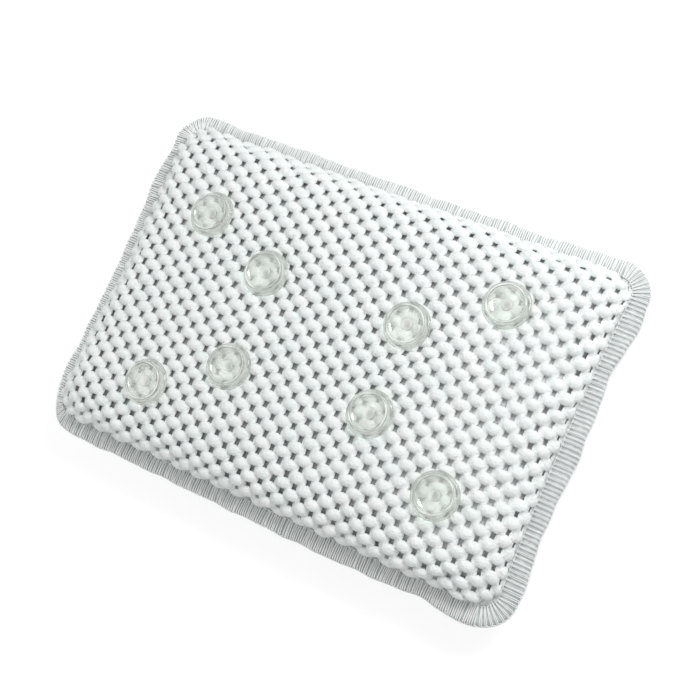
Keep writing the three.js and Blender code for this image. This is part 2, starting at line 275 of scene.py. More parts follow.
def draw_in(x, y):
    along = np.minimum(np.abs(x) / (HALF_X - EDGE_CORNER), 1)
    across = np.minimum(np.abs(y) / (HALF_Y - EDGE_CORNER), 1)
    drawn_x = x - SIDE_DRAW_IN * x / HALF_X * (1 - across ** 2)
    drawn_y = y - np.where(y > 0, FAR_DRAW_IN, NEAR_DRAW_IN) * y / HALF_Y * (1 - along ** 2)
    return drawn_x, drawn_y


def undrawn(x, y):
    """The point that draw_in moves to x, y."""
    from_x, from_y = x, y
    for _ in range(6):
        off_x, off_y = draw_in(from_x, from_y)
        from_x, from_y = from_x + x - off_x, from_y + y - off_y
    return from_x, from_y


def crown_slope(x, y, share):
    """How steeply the crown falls outward there."""
    nudge = 1e-6
    grows = (outside_level(x, y, share) - outside_level(x, y, share - nudge)) / nudge
    falls = (CROWN_HEIGHT - FLANGE_TOP) * CROWN_FLATNESS / CROWN_STEEPNESS
    falls = falls * share ** (CROWN_FLATNESS - 1) * level_rise(share) ** (1 - CROWN_STEEPNESS)
    return falls / np.maximum(-grows, 1e-4)


def crown_points(along, across, side):
    """Points and outward normals of a smooth cover: side is 1 for the back, -1 for the front."""
    x = np.interp(np.abs(squeeze(along, SPAN_X)), ARC_X, PLACE_X) * np.sign(along)
    y = np.interp(np.abs(squeeze(across, SPAN_Y)), ARC_Y, PLACE_Y) * np.sign(across)
    over = np.maximum(outside_level(x, y, 1.0), 0)
    out_x, out_y = way_out(x, y, 1.0)
    x, y = x - over * out_x, y - over * out_y
    share = np.minimum(share_at(x, y), 1 - TINY)
    depth = FLANGE_TOP + (CROWN_HEIGHT - FLANGE_TOP) * level_rise(share)
    out_x, out_y = way_out(x, y, share)
    slope = crown_slope(x, y, share)
    if side < 0:
        rest = SEAM - BEAD_PROUD / 2
        spare = (rest - depth) / REST_SOFTNESS
        slope = slope / (1 + np.exp(-np.clip(spare, -40, 40)))
        depth = rest - REST_SOFTNESS * softplus(spare)
    size = np.sqrt(1 + slope ** 2)
    bulge = FLANK_BULGE * (slope / size) ** 2 * np.clip(level_rise(share) / BULGE_START, 0, 1)
    x, y = draw_in(x + bulge * out_x, y + bulge * out_y)
    points = np.stack([x, y, SEAM + side * depth], 1) + swelling_at(along, across, side)
    normals = np.stack([slope * out_x, slope * out_y, side * np.ones_like(x)], 1) / size[:, None]
    return points, normals


# --- swelling ---

SWELLING = {}  # of each side, on a grid along and across it


def swelling_at(along, across, side):
    """The swelling at places of the surface, read between the points of its grid."""
    if side not in SWELLING:
        return np.zeros((len(along), 3))
    grid = SWELLING[side]
    column = np.clip((along / SPAN_X + 1) / 2, 0, 1) * (SWELL_COLUMNS - 1)
    row = np.clip((across / SPAN_Y + 1) / 2, 0, 1) * (SWELL_ROWS - 1)
    left = np.minimum(column.astype(int), SWELL_COLUMNS - 2)
    below = np.minimum(row.astype(int), SWELL_ROWS - 2)
    right_share, up_share = (column - left)[:, None], (row - below)[:, None]
    lower = grid[left, below] * (1 - right_share) + grid[left + 1, below] * right_share
    upper = grid[left, below + 1] * (1 - right_share) + grid[left + 1, below + 1] * right_share
    return lower * (1 - up_share) + upper * up_share


def places_of(mesh):
    flat = np.zeros(len(mesh.vertices) * 3)
    mesh.vertices.foreach_get("co", flat)
    return flat.reshape(-1, 3)


def evaluated(form):
    return form.evaluated_get(bpy.context.evaluated_depsgraph_get())


def hold(form, places, feet):
    """Weights the form's points by how firmly the seam, the cups and the core hold them."""
    held = np.exp(-((places[:, 2] - SEAM) / SEAM_HOLD) ** 4)
    for foot in feet:
        held = np.maximum(held, np.exp(-((places - foot) ** 2).sum(1) / (CUP_HOLD / 2) ** 2))
    share = share_at(*undrawn(places[:, 0], places[:, 1]))
    held = np.maximum(held, TOP_HOLD * np.clip((TOP_EDGE - share) / TOP_FADE, 0, 1))
    group = form.vertex_groups.new(name="held")
    for index, weight in enumerate(held.tolist()):
        group.add([index], weight, "REPLACE")
    return group.name


def blown_up(form, feet):
    """Simulates the form as cloth under pressure: where its points lay, and how far each moved."""
    remesh = form.modifiers.new("remesh", "REMESH")
    remesh.mode = "VOXEL"
    remesh.voxel_size = FORM_VOXEL
    form.data = bpy.data.meshes.new_from_object(evaluated(form))
    form.modifiers.clear()
    start = places_of(form.data)
    held = hold(form, start, feet)
    cloth = form.modifiers.new("cloth", "CLOTH")
    cloth.settings.vertex_group_mass = held
    cloth.settings.use_pressure = True
    cloth.settings.uniform_pressure_force = SWELL_PRESSURE
    cloth.settings.effector_weights.gravity = 0
    cloth.settings.shrink_min = -SPARE_CLOTH
    cloth.point_cache.frame_start = 1
    cloth.point_cache.frame_end = SWELL_FRAMES
    for step in range(1, SWELL_FRAMES + 1):
        scene.frame_set(step)
    moved = places_of(evaluated(form).data) - start
    bpy.data.objects.remove(form)
    scene.frame_set(1)
    return start, moved


def swell(necks):
    """Fills SWELLING from the simulated form, capped, and faded out where the cups sit."""
    feet = [foot for _, foot, _ in necks]
    points, faces = crowned_block(0.0, CROWN_HEIGHT, SEAM)
    start, moved = blown_up(mesh_object("swelling_form", points, faces), feet)
    size = np.linalg.norm(moved, axis=1)
    moved *= (np.minimum(size, SWELL_LIMIT) / np.maximum(size, TINY))[:, None]
    tree = kdtree.KDTree(len(start))
    for index, place in enumerate(start.tolist()):
        tree.insert(place, index)
    tree.balance()
    columns = np.linspace(-SPAN_X, SPAN_X, SWELL_COLUMNS)
    rows = np.linspace(-SPAN_Y, SPAN_Y, SWELL_ROWS)
    along, across = (grid.ravel() for grid in np.meshgrid(columns, rows, indexing="ij"))
    for side in (1, -1):
        ground, _ = crown_points(along, across, side)
        swelling = np.zeros((len(ground), 3))
        for index, place in enumerate(ground.tolist()):
            near = tree.find_n(place, 8)
            weights = np.array([1 / (distance + FORM_VOXEL / 2) ** 2 for _, _, distance in near])
            swelling[index] = weights @ moved[[number for _, number, _ in near]] / weights.sum()
        if side > 0:
            for foot in feet:
                swelling *= 1 - np.exp(-((ground - foot) ** 2).sum(1) / CUP_HOLD ** 2)[:, None]
        else:
            swelling[:, 2] = np.maximum(swelling[:, 2], 0)
        SWELLING[side] = swelling.reshape(SWELL_COLUMNS, SWELL_ROWS, 3)


# --- making objects ---

def placed(name, data):
    made = bpy.data.objects.new(name, data)
    scene.collection.objects.link(made)
    return made


def mesh_object(name, points, faces, smooth=True):
    mesh = bpy.data.meshes.new(name)
    mesh.from_pydata([tuple(p) for p in np.asarray(points).tolist()], [], faces)
    mesh.validate()
    mesh.polygons.foreach_set("use_smooth", [smooth] * len(mesh.polygons))
    mesh.update()
    return placed(name, mesh)


def give_materials(piece, materials, which):
    for material in materials:
        piece.data.materials.append(material)
    piece.data.polygons.foreach_set("material_index", which)


def ring_faces(rows, width, closed=False, first=0):
    """The faces between rows of points that each close to a ring."""
    faces = []
    for r in range(rows if closed else rows - 1):
        a, b = first + r * width, first + (r + 1) % rows * width
        for c in range(width):
            d = (c + 1) % width
            faces.append((a + c, a + d, b + d, b + c))
    return faces


def from_axis(points, foot, axis):
    """How far points lie above a cup's foot along its axis, and out from the axis."""
    off = points - foot
    up = off @ axis
    return up, np.sqrt(np.maximum((off ** 2).sum(1) - up ** 2, 0))


def dress(piece, node, material=None, body="pillow"):
    if material:
        piece.data.materials.append(material)
    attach(piece, body)
    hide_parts(node)


# --- bead mesh ---

# Each hole's own points: its corners, the middles of its edges, and two points on each of two creases
NE, NW, SW, SE = 0, 1, 2, 3
EAST, NORTH, WEST, SOUTH = 4, 5, 6, 7
CREASE_NE, CREASE_NW = 8, 10
POINTS_PER_HOLE = 12
QUADRANTS = ((1, 1), (-1, 1), (-1, -1), (1, -1))
EDGES = ((EAST, NE, SE), (NORTH, NE, NW), (WEST, NW, SW), (SOUTH, SE, SW))
CREASES = (  # its points, its corner, step to the other hole, that hole's corner
    (CREASE_NE, NE, (1, 1), SW),
    (CREASE_NW, NW, (-1, 1), SE),
)
AROUND_BEAD = (  # step to each hole beside a bead, and that hole's points round the bead
    ((1, 0), (SW, WEST, NW, CREASE_NW, CREASE_NW + 1)),
    ((0, 1), (SE, SOUTH, SW)),
    ((-1, 0), (CREASE_NE + 1, CREASE_NE, NE, EAST, SE)),
    ((0, -1), (CREASE_NW + 1, CREASE_NW, NW, NORTH, NE, CREASE_NE, CREASE_NE + 1)),
)


def pulled(places):
    """Where the places of the even mesh lie once it is pulled over the crown and sewn."""
    u, v = np.clip(places / [SPAN_X, SPAN_Y], -1.1, 1.1).T
    off_x = (STRETCH_X * u + END_STRETCH_X * u * np.abs(u) ** 4 + SKEW_X * v + TWIST_X * u * v
             + BOW_X * v ** 2 + WAIST_X * u * v ** 2)
    off_y = (STRETCH_Y * v + END_STRETCH_Y * v * np.abs(v) ** 4 + SKEW_Y * u + TWIST_Y * u * v
             + BOW_Y * u ** 2 + WAIST_Y * v * u ** 2)
    return places + np.stack([off_x, off_y], 1)


def from_seam(places):
    """How far places along and across the surface lie inside the seam."""
    return np.minimum(SPAN_X - np.abs(places[:, 0]), SPAN_Y - np.abs(places[:, 1]))


def hole_places(rng):
    """Each hole's number, by column and row, and its place along and across the surface."""
    reach_x = int(SPAN_X / HOLE_PITCH_X) + SPARE_HOLES
    reach_y = int(SPAN_Y / HOLE_PITCH_Y) + SPARE_HOLES
    holes = [(i, j) for i in range(-reach_x, reach_x + 1) for j in range(-reach_y, reach_y + 1)
             if (i + j) % 2 == 0]
    places = np.array(holes, float) * [HOLE_PITCH_X, HOLE_PITCH_Y] + [FIRST_HOLE_X, FIRST_HOLE_Y]
    places = pulled(places) + rng.normal(0, HOLE_STRAY, places.shape)
    return {hole: k for k, hole in enumerate(holes)}, places


def hole_corners(places, rng):
    """The holes' corners, a little uneven."""
    half = np.array([HOLE_HALF_X, HOLE_HALF_Y]) * (1 + rng.normal(0, HOLE_SIZE_SPREAD, places.shape))
    inside = np.clip(from_seam(places) / SEAM_HOLE_REACH, 0, 1)
    half *= (SEAM_HOLE + (1 - SEAM_HOLE) * inside)[:, None]
    turn = rng.normal(0, HOLE_TURN_SPREAD, len(places))
    lean = HOLE_LEAN + rng.normal(0, HOLE_LEAN_SPREAD, len(places))
    corners = []
    for sign_x, sign_y in QUADRANTS:
        off_x, off_y = sign_x * half[:, 0], sign_y * half[:, 1]
        off_x = off_x + lean * off_y
        corners.append(places + np.stack([off_x - turn * off_y, off_y + turn * off_x], 1))
    return corners


def hole_grid(rng):
    number, places = hole_places(rng)
    points = np.zeros((len(number), POINTS_PER_HOLE, 2))
    for k, corner in enumerate(hole_corners(places, rng)):
        points[:, k] = corner
    for edge, a, b in EDGES:
        middle = (points[:, a] + points[:, b]) / 2
        points[:, edge] = middle + EDGE_BOW * (places - middle)
    for (i, j), k in number.items():
        for slot, corner, (step_x, step_y), end in CREASES:
            other = number.get((i + step_x, j + step_y))
            start = points[k, corner]
            way = 0 if other is None else points[other, end] - start
            bend = rng.normal(0, CREASE_STRAY, 2)
            for m in (1, 2):
                points[k, slot + m - 1] = start + way * m / 3 + bend
    return number, points


def bead_border(number, i, j):
    """The numbers of the 20 points round bead i, j, counterclockwise, or None where a hole is missing."""
    loop = []
    for (step_x, step_y), own_points in AROUND_BEAD:
        hole = number.get((i + step_x, j + step_y))
        if hole is None:
            return None
        loop += [hole * POINTS_PER_HOLE + point for point in own_points]
    return loop


def bead_borders(number, border):
    """The borders of the beads on the crown and just past the seam."""
    loops = []
    for i, j in number:
        loop = bead_border(number, i + 1, j)
        if loop is None:
            continue
        along, across = np.abs(border[loop].mean(0))
        if along > SPAN_X + PAST_END or across > SPAN_Y + PAST_SIDE:
            continue
        x, y = np.interp([along], ARC_X, PLACE_X), np.interp([across], ARC_Y, PLACE_Y)
        in_corner = outside_level(x, y, 1.0)[0] > -0.0001
        if in_corner and min(SPAN_X - along, SPAN_Y - across) > 0:
            continue
        loops.append(loop)
    return loops


def cup_necks():
    """Each cup's place along and across the back cover, its foot and its axis."""
    necks = []
    for joint in frame["joints"]:
        foot, axis = Vector(joint["pos_m"]), Vector(joint["axis"]).normalized()
        x, y = undrawn(foot.x, foot.y)
        along = np.interp(abs(x), PLACE_X, ARC_X) * np.sign(x)
        across = np.interp(abs(y), PLACE_Y, ARC_Y) * np.sign(y)
        necks.append((np.array([along, across]), np.array(foot), np.array(axis)))
    return necks


def make_room_for_necks(points, necks):
    """Moves the nearest hole under each cup's neck and opens it round the neck."""
    flat = points.reshape(-1, 2)
    centres = points[:, :4].mean(1)
    for place, _, _ in necks:
        move = place - centres[np.argmin(np.hypot(*(centres - place).T))]
        far = np.hypot(*(flat - place).T)
        flat = flat + move * np.exp(-far ** 2 / (2 * NECK_PULL ** 2))[:, None]
    for place, _, _ in necks:
        off = flat - place
        far = np.hypot(*off.T)
        opened = (far ** 4 + (CUP_NECK_RADIUS + NECK_ROOM) ** 4) ** 0.25
        flat = place + off * (opened / np.maximum(far, TINY))[:, None]
    return flat.reshape(points.shape)


def rise_at(places):
    """How far a bead's top stands above its creases there: less near the seam."""
    return BEAD_RISE * (SEAM_RISE + (1 - SEAM_RISE) * np.clip(from_seam(places) / FLATTENED, 0, 1))


def press_under_cup(points, foot, axis):
    """Presses what stands under a cup's flange down to it."""
    up, out = from_axis(points, foot, axis)
    room = -PRESS_GAP + np.maximum(out - CUP_FLANGE_RADIUS - PRESS_MARGIN, 0) * PRESS_SLOPE
    near = (out < CUP_FLANGE_RADIUS + PRESS_REACH) & (up > room) & (up > -PRESS_DEPTH)
    points[near] -= ((up - room)[near])[:, None] * axis


def edges_of(loop):
    return list(zip(loop, loop[1:] + loop[:1]))


def dome_points(outlines, middles, rises, tilts):
    """Each bead's own points: rings that follow an egg inside its border, its top and its bottom."""
    spokes = outlines - middles[:, None]
    egg = 1 / np.hypot(spokes[..., 0] / BEAD_HALF_X, spokes[..., 1] / BEAD_HALF_Y)
    places, heights = [], []
    for share in RING_SHARES:
        off = spokes * (share * np.minimum(egg, 1))[..., None]
        dome = (1 - share ** DOME_POWER) ** 0.5
        places.append(middles[:, None] + off)
        heights.append(CREASE_HALF + rises[:, None] * dome * (1 + (off / TILT_ARM * tilts[:, None]).sum(2)))
    places += [middles[:, None]] * 2
    heights += [CREASE_HALF + rises[:, None], np.full((len(rises), 1), -CREASE_HALF - BEAD_DROP)]
    return np.concatenate(places, 1).reshape(-1, 2), np.concatenate(heights, 1).ravel()


def bead_faces(loop, first, under, edges):
    """A bead's faces; its own points are numbered from first on."""
    size = len(loop)
    top = first + size * len(RING_SHARES)
    faces = [(a, b, first + (k + 1) % size, first + k) for k, (a, b) in enumerate(edges_of(loop))]
    faces += ring_faces(len(RING_SHARES), size, first=first)
    faces += [(a, b, top) for a, b in edges_of(list(range(top - size, top)))]
    faces += [(b + under, a + under, top + 1) for a, b in edges_of(loop)]
    return faces + [(a, a + under, b + under, b) for a, b in edges_of(loop) if (b, a) not in edges]


def bead_mesh(name, side, necks):
    """One cover's open mesh of foam beads, welded along their creases."""
    rng = np.random.default_rng(SEED + side)
    number, points = hole_grid(rng)
    if necks:
        points = make_room_for_necks(points, necks)
    border = points.reshape(-1, 2)
    lift = np.full(len(border), CREASE_HALF)
    lift[np.arange(len(border)) % POINTS_PER_HOLE >= CREASE_NE] += CREASE_SADDLE
    loops = bead_borders(number, border)
    outlines = border[np.array(loops)]
    spreads = (BEAD_STRAY, BEAD_STRAY, BEAD_RISE_SPREAD, BEAD_TILT_SPREAD, BEAD_TILT_SPREAD)
    uneven = rng.normal(0, spreads, (len(loops), len(spreads)))
    middles = outlines.mean(1) + uneven[:, :2]
    own, height = dome_points(outlines, middles, (1 + uneven[:, 2]) * rise_at(middles), uneven[:, 3:])
    under, each = len(border), len(own) // len(loops)
    edges = {edge for loop in loops for edge in edges_of(loop)}
    faces = []
    for k, loop in enumerate(loops):
        faces += bead_faces(loop, 2 * under + k * each, under, edges)
    places, heights = np.concatenate([border, border, own]), np.concatenate([lift, lift - 2 * CREASE_HALF, height])
    return laid_over(name, places, heights, faces, side, necks)


def laid_over(name, places, heights, faces, side, necks):
    """The mesh laid over the crown, pressed under the cups, or flat where the front rests."""
    ground, normals = crown_points(places[:, 0], places[:, 1], side)
    shaped = ground + normals * (heights - CREASE_HALF - rise_at(places) + BEAD_PROUD)[:, None]
    for _, foot, axis in necks:
        press_under_cup(shaped, foot, axis)
    if side < 0:
        shaped[:, 2] = np.maximum(shaped[:, 2], REST_GAP)
        faces = [face[::-1] for face in faces]
    used = np.unique(np.concatenate(faces))
    renumber = np.full(len(shaped), -1)
    renumber[used] = np.arange(len(used))
    return mesh_object(name, shaped[used], [tuple(renumber[list(face)].tolist()) for face in faces])


# --- sewn band ---

def band_line():
    """Points of the crown's foot outline, their outward normals and the lengths on the line of even stitches."""
    corner_steps, quarter = 65, math.pi / 2
    angles = np.concatenate([np.linspace(k * quarter, (k + 1) * quarter, corner_steps) for k in range(4)])
    normals = np.stack([np.cos(angles), np.sin(angles)], 1)
    corner = np.array([CROWN_HALF_X - FOOT_CORNER, CROWN_HALF_Y - FOOT_CORNER])
    points = np.repeat(np.array(QUADRANTS) * corner, corner_steps, 0) + FOOT_CORNER * normals
    points, normals = np.r_[points, points[:1]], np.r_[normals, normals[:1]]
    spaced = points + STITCHES_SPACED_AT * normals
    return points, normals, np.r_[0, np.cumsum(np.hypot(*np.diff(spaced, axis=0).T))]


LINE_POINTS, LINE_NORMALS, LINE_LENGTH = band_line()
STITCHES = int(round(LINE_LENGTH[-1] / STITCH_PITCH))


def band_place(stitch, out):
    """Plan points of the band at a stitch number and a distance outside the crown's foot."""
    at = (np.asarray(stitch, float) / STITCHES % 1.0) * LINE_LENGTH[-1]
    px, py = (np.interp(at, LINE_LENGTH, values) for values in LINE_POINTS.T)
    nx, ny = (np.interp(at, LINE_LENGTH, values) for values in LINE_NORMALS.T)
    size = np.hypot(nx, ny)
    return px + out * nx / size, py + out * ny / size, nx / size, ny / size


def flank_inset(stitch, height):
    """How far the crown stands inside its foot at that height, all along the band."""
    rise = (height - FLANGE_TOP) / (CROWN_HEIGHT - FLANGE_TOP)
    share = (1 - rise ** CROWN_STEEPNESS) ** (1 / CROWN_FLATNESS)
    inset = np.zeros(len(stitch))
    for _ in range(12):
        x, y, _, _ = band_place(stitch, -inset)
        inset = inset + outside_level(x, y, np.full(len(x), share))
    return inset


def waves(turn, parts):
    return sum(height * np.sin(count * turn + phase) for height, count, phase in parts)


def band_wave(stitch, out):
    """How far the band waves up and outward there: more towards its outer edge."""
    turn = np.asarray(stitch, float) / STITCHES * 2 * math.pi
    share = np.clip(np.asarray(out) / BAND, 0, 1.1)
    outward = waves(turn, OUT_WAVES)
    x, y, _, _ = band_place(stitch, BAND)
    for bulge_x, bulge_y, reach, amount in EDGE_BULGES:
        outward = outward + amount * np.exp(-((x - bulge_x) ** 2 + (y - bulge_y) ** 2) / reach ** 2)
    return waves(turn, UP_WAVES) * share ** 1.3, outward * share ** 1.5


def band_points(stitch, out, height):
    """Points of the band; height is above the seam plane."""
    stitch, out, height = np.broadcast_arrays(stitch, out, height)
    up, outward = band_wave(stitch, out)
    x, y, nx, ny = band_place(stitch, out)
    x, y = draw_in(x + outward * nx, y + outward * ny)
    return np.stack([x, y, SEAM + height + up], -1)


def band_flange(name, side, material, skirt_material):
    """The pressed edge of one cover, with a skirt under the beads' feet."""
    steps = STITCHES * STEPS_PER_STITCH
    stitch = np.arange(steps) / STEPS_PER_STITCH
    beat = np.cos(2 * math.pi * stitch)
    rng = np.random.default_rng(SEED + 7 + side)
    columns = [band_points(stitch, out - flank_inset(stitch, height), side * height)
               for out, height in SKIRT_SECTION]
    for out, height in FLANGE_SECTION:
        wobble = 0.0
        if height > FLANGE_TOP_ABOVE:
            wobble = FLANGE_ROUGH * rng.normal(0, 1, steps) + FLANGE_PRESS * beat
        pull = -EDGE_PULL * beat if out > FLANGE_EDGE_FROM else 0.0
        columns.append(band_points(stitch, out + pull, side * (height + wobble)))
    columns = np.stack(columns, 1)
    rows, width = columns.shape[:2]
    faces = ring_faces(rows, width, closed=True)
    if side > 0:
        faces = [face[::-1] for face in faces]
    piece = mesh_object(name, columns.reshape(-1, 3), faces)
    skirt = [int(c <= len(SKIRT_SECTION)) for _ in range(rows) for c in range(width)]
    give_materials(piece, (material, skirt_material), skirt)
    return piece


def tube(name, path, radius, sides=6):
    """A closed round thread along a closed path."""
    ahead = np.roll(path, -1, 0) - np.roll(path, 1, 0)
    ahead /= np.maximum(np.linalg.norm(ahead, axis=1), 1e-12)[:, None]
    across = np.cross(ahead, np.array([0, 0, 1.0]))
    weak = np.linalg.norm(across, axis=1) < 0.3
    last = across[~weak][-1]
    for k in range(len(across)):
        if weak[k]:
            across[k] = last - ahead[k] * (last @ ahead[k])
        across[k] /= np.linalg.norm(across[k])
        last = across[k]
    upward = np.cross(across, ahead)
    angles = (np.arange(sides) / sides * 2 * math.pi)[None, :, None]
    radius = np.broadcast_to(radius, len(path))[:, None, None]
    rings = path[:, None] + radius * (np.cos(angles) * across[:, None] + np.sin(angles) * upward[:, None])
    return mesh_object(name, rings.reshape(-1, 3), ring_faces(len(path), sides, closed=True))


def looper_thread(name, side):
    """The loops of one thread: paired legs at the pillow's far end, even and looser elsewhere."""
    rng = np.random.default_rng(SEED + 20 + side)
    x, _, _, _ = band_place(np.arange(STITCHES), 0.0)
    paired = np.clip((x - PAIRED_FROM) / PAIRED_FADE, 0, 1)
    looseness = 1 + LOOSENESS * (1 - paired)
    slant = rng.normal(0, LOOP_SLANT, STITCHES) * looseness
    shift = rng.normal(0, LOOP_SHIFT, STITCHES) * looseness
    reach = rng.normal(0, LOOP_REACH, STITCHES)
    phase = 0.0 if side > 0 else 0.5
    spread = EVEN_SPREAD + (PAIRED_SPREAD - EVEN_SPREAD) * paired + rng.normal(0, SPREAD_SPREAD, STITCHES)
    path = []
    for k in range(STITCHES):
        for along, out, height in LOOP_PATH:
            part = out / BAND
            place = k + phase + along * spread[k] + shift[k] + slant[k] * (1 - part)
            path.append((place, out + reach[k] * (1 - part), height))
        path.append((k + phase + 0.5, *LOOP_TURN))
    path = np.array(path)
    radius = THREAD_RADIUS + (PAIRED_RADIUS - THREAD_RADIUS) * np.repeat(paired, len(LOOP_PATH) + 1)
    return tube(name, band_points(path[:, 0], path[:, 1], side * path[:, 2]), radius)


def needle_stitches(name):
    stitch = np.arange(STITCHES * 6) / 6
    height = NEEDLE_LOW + NEEDLE_LIFT * (0.5 + 0.5 * np.cos(2 * math.pi * stitch)) ** 0.7
    return tube(name, band_points(stitch, NEEDLE_OUT, height), NEEDLE_RADIUS)


# --- foam core ---

def block_loop(share, side_inset):
    """One level line of a crowned block, as points of its plan."""
    corner = max(float(level_corner(np.array(share))) - side_inset * share, BLOCK_LEAST_CORNER * share)
    half_x = (CROWN_HALF_X - side_inset) * share - corner
    half_y = (CROWN_HALF_Y - side_inset) * share - corner

    def on_corner(k, angle):
        sign_x, sign_y = QUADRANTS[(k + 3) % 4]
        return np.array([sign_x * half_x + corner * math.cos(angle), sign_y * half_y + corner * math.sin(angle)])

    loop = []
    for k, side_steps in enumerate(BLOCK_SIDE_STEPS):
        first = -math.pi / 2 + k * math.pi / 2
        for m in range(BLOCK_CORNER_STEPS):
            loop.append(on_corner(k, first + (math.pi / 2) * m / (BLOCK_CORNER_STEPS - 1)))
        start, end = loop[-1], on_corner(k + 1, first + math.pi / 2)
        for m in range(1, side_steps):
            loop.append(start + (end - start) * m / side_steps)
    return np.array(loop)


def crowned_block(side_inset, top_height, rest_depth):
    """Points and faces of a closed crowned block, pressed flat where it rests."""
    shares = 1 - (1 - np.linspace(0.02, 1, BLOCK_RINGS)) ** 1.6
    loops = [block_loop(share, side_inset) for share in shares]
    around = len(loops[0])
    points = []
    for side in (1, -1):
        for loop, share in list(zip(loops, shares))[::side]:
            height = max(top_height * float(level_rise(np.array(share))), BLOCK_LEAST_HEIGHT)
            if side < 0:
                height = min(height, rest_depth)
            x, y = draw_in(loop[:, 0], loop[:, 1])
            points.append(np.stack([x, y, np.full(around, SEAM + side * height)], 1))
    faces = [(a, d, c, b) for a, b, c, d in ring_faces(2 * BLOCK_RINGS, around)]
    faces.append(tuple(range(around)))
    faces.append(tuple(range((2 * BLOCK_RINGS - 1) * around, 2 * BLOCK_RINGS * around))[::-1])
    return np.concatenate(points), faces


def foam_core(name, necks):
    """The block under the covers, with a pocket for each cup's head."""
    points, faces = crowned_block(CORE_SIDE_INSET, CROWN_HEIGHT - CORE_INSET, SEAM - CORE_INSET)
    for _, foot, axis in necks:
        up, out = from_axis(points, foot, axis)
        bottom = -CUP_NECK_LENGTH - CUP_HEAD_THICKNESS - POCKET_GAP
        bottom = bottom + np.maximum(out - CUP_HEAD_RADIUS - POCKET_MARGIN, 0) * POCKET_SLOPE
        deep = (up > bottom) & (out < POCKET_REACH)
        points[deep] -= ((up - bottom)[deep])[:, None] * axis
    return mesh_object(name, points, faces)


# --- suction cups ---

def steps_round(start, end, steps):
    return [math.radians(angle) for angle in np.linspace(start, end, steps)]


def arc(out, height, radius, start, end, steps):
    """Points of an arc round a centre, in degrees from outward towards upward."""
    return [(out + radius * math.cos(a), height + radius * math.sin(a)) for a in steps_round(start, end, steps)]


def cup_outside():
    """The cup's section from the middle of its head up to its lip."""
    head_top = -CUP_NECK_LENGTH
    head_bottom = head_top - CUP_HEAD_THICKNESS
    round_head = CUP_HEAD_THICKNESS / 2
    half = CUP_FLANGE_THICKNESS / 2
    foot = (CUP_FLANGE_RADIUS + CUP_LIP_RADIUS) / 2
    waist = (foot + 2 * CUP_LIP_RADIUS) / 3
    lip = CUP_LIP_WIDTH / 2
    return [
        (0.0, head_bottom), (CUP_FLAT_RADIUS, head_bottom),
        *arc(CUP_HEAD_RADIUS - round_head, head_bottom + round_head, round_head, -90, 90, 9),
        *arc(CUP_NECK_RADIUS + CUP_NECK_FILLET, head_top + CUP_NECK_FILLET, CUP_NECK_FILLET, 270, 180, 5),
        (CUP_NECK_RADIUS, -0.002),
        *arc(CUP_NECK_RADIUS + CUP_FILLET, -CUP_FILLET, CUP_FILLET, 180, 90, 3),
        (0.006, 0), (0.01, 0), (0.0135, 0),
        *arc(CUP_FLANGE_RADIUS - half, half, half, -90, 90, 9),
        *arc(foot + 0.0006, CUP_FLANGE_THICKNESS + CUP_FOOT_FILLET, CUP_FOOT_FILLET, 270, 215, 4),
        (waist + 0.00012, CUP_HEIGHT * 0.42), (CUP_LIP_RADIUS + 0.0001, CUP_HEIGHT * 0.7),
        *arc(CUP_LIP_RADIUS - lip, CUP_HEIGHT - lip, lip, 0, 180, 9),
    ]


def cup_dish():
    """The rest of the section, down the dish and over the pip."""
    dish_radius = CUP_LIP_RADIUS - CUP_LIP_WIDTH
    dish_floor = CUP_HEIGHT - CUP_DISH_DEPTH
    pip_top = dish_floor + CUP_PIP_HEIGHT
    lip = CUP_LIP_WIDTH / 2
    return [
        *((CUP_PIP_RADIUS + (dish_radius - CUP_PIP_RADIUS) * math.cos(a),
           CUP_HEIGHT - lip - (CUP_DISH_DEPTH - lip) * math.sin(a)) for a in steps_round(8, 82, 12)),
        *arc(CUP_PIP_RADIUS, dish_floor + CUP_FILLET, CUP_FILLET, 270, 180, 3),
        *arc(CUP_PIP_RADIUS - CUP_PIP_HEIGHT, pip_top - CUP_FILLET, CUP_FILLET, 0, 90, 3),
        (CUP_FLAT_RADIUS, pip_top), (0.0, pip_top),
    ]


DISH, WALL, STALK, PIP, LIP = range(5)


def cup_part(start, end):
    """Which part of the cup lies between two points of its section. The flange counts as wall."""
    radius, height = max(start[0], end[0]), min(start[1], end[1])
    if height < -CUP_FLANGE_THICKNESS / 10:
        return STALK
    if height > CUP_HEIGHT - 0.7 * CUP_LIP_WIDTH:
        return LIP
    if start[1] > CUP_FLANGE_THICKNESS and radius < CUP_PIP_RADIUS + 0.0001:
        return PIP
    return WALL if radius > CUP_LIP_RADIUS else DISH


def suction_cup(name, foot, axis, materials):
    bottom, *rings, top = cup_outside() + cup_dish()
    angles = np.arange(CUP_SIDES) / CUP_SIDES * 2 * math.pi
    points = [(0, 0, bottom[1]), (0, 0, top[1])]
    for radius, height in rings:
        points += [(radius * math.cos(a), radius * math.sin(a), height) for a in angles]
    faces = ring_faces(len(rings), CUP_SIDES, first=2)
    parts = [cup_part(start, end) for start, end in zip(rings, rings[1:]) for _ in angles]
    last = 2 + (len(rings) - 1) * CUP_SIDES
    for c in range(CUP_SIDES):
        d = (c + 1) % CUP_SIDES
        faces += [(0, 2 + d, 2 + c), (1, last + c, last + d)]
        parts += [STALK, PIP]
    turn = Vector((0, 0, 1)).rotation_difference(Vector(axis)).to_matrix()
    piece = mesh_object(name, np.array(points) @ np.array(turn).T + foot, faces)
    give_materials(piece, materials, parts)
    return piece


# --- materials ---

def grey(level):
    return level, level, level, 1


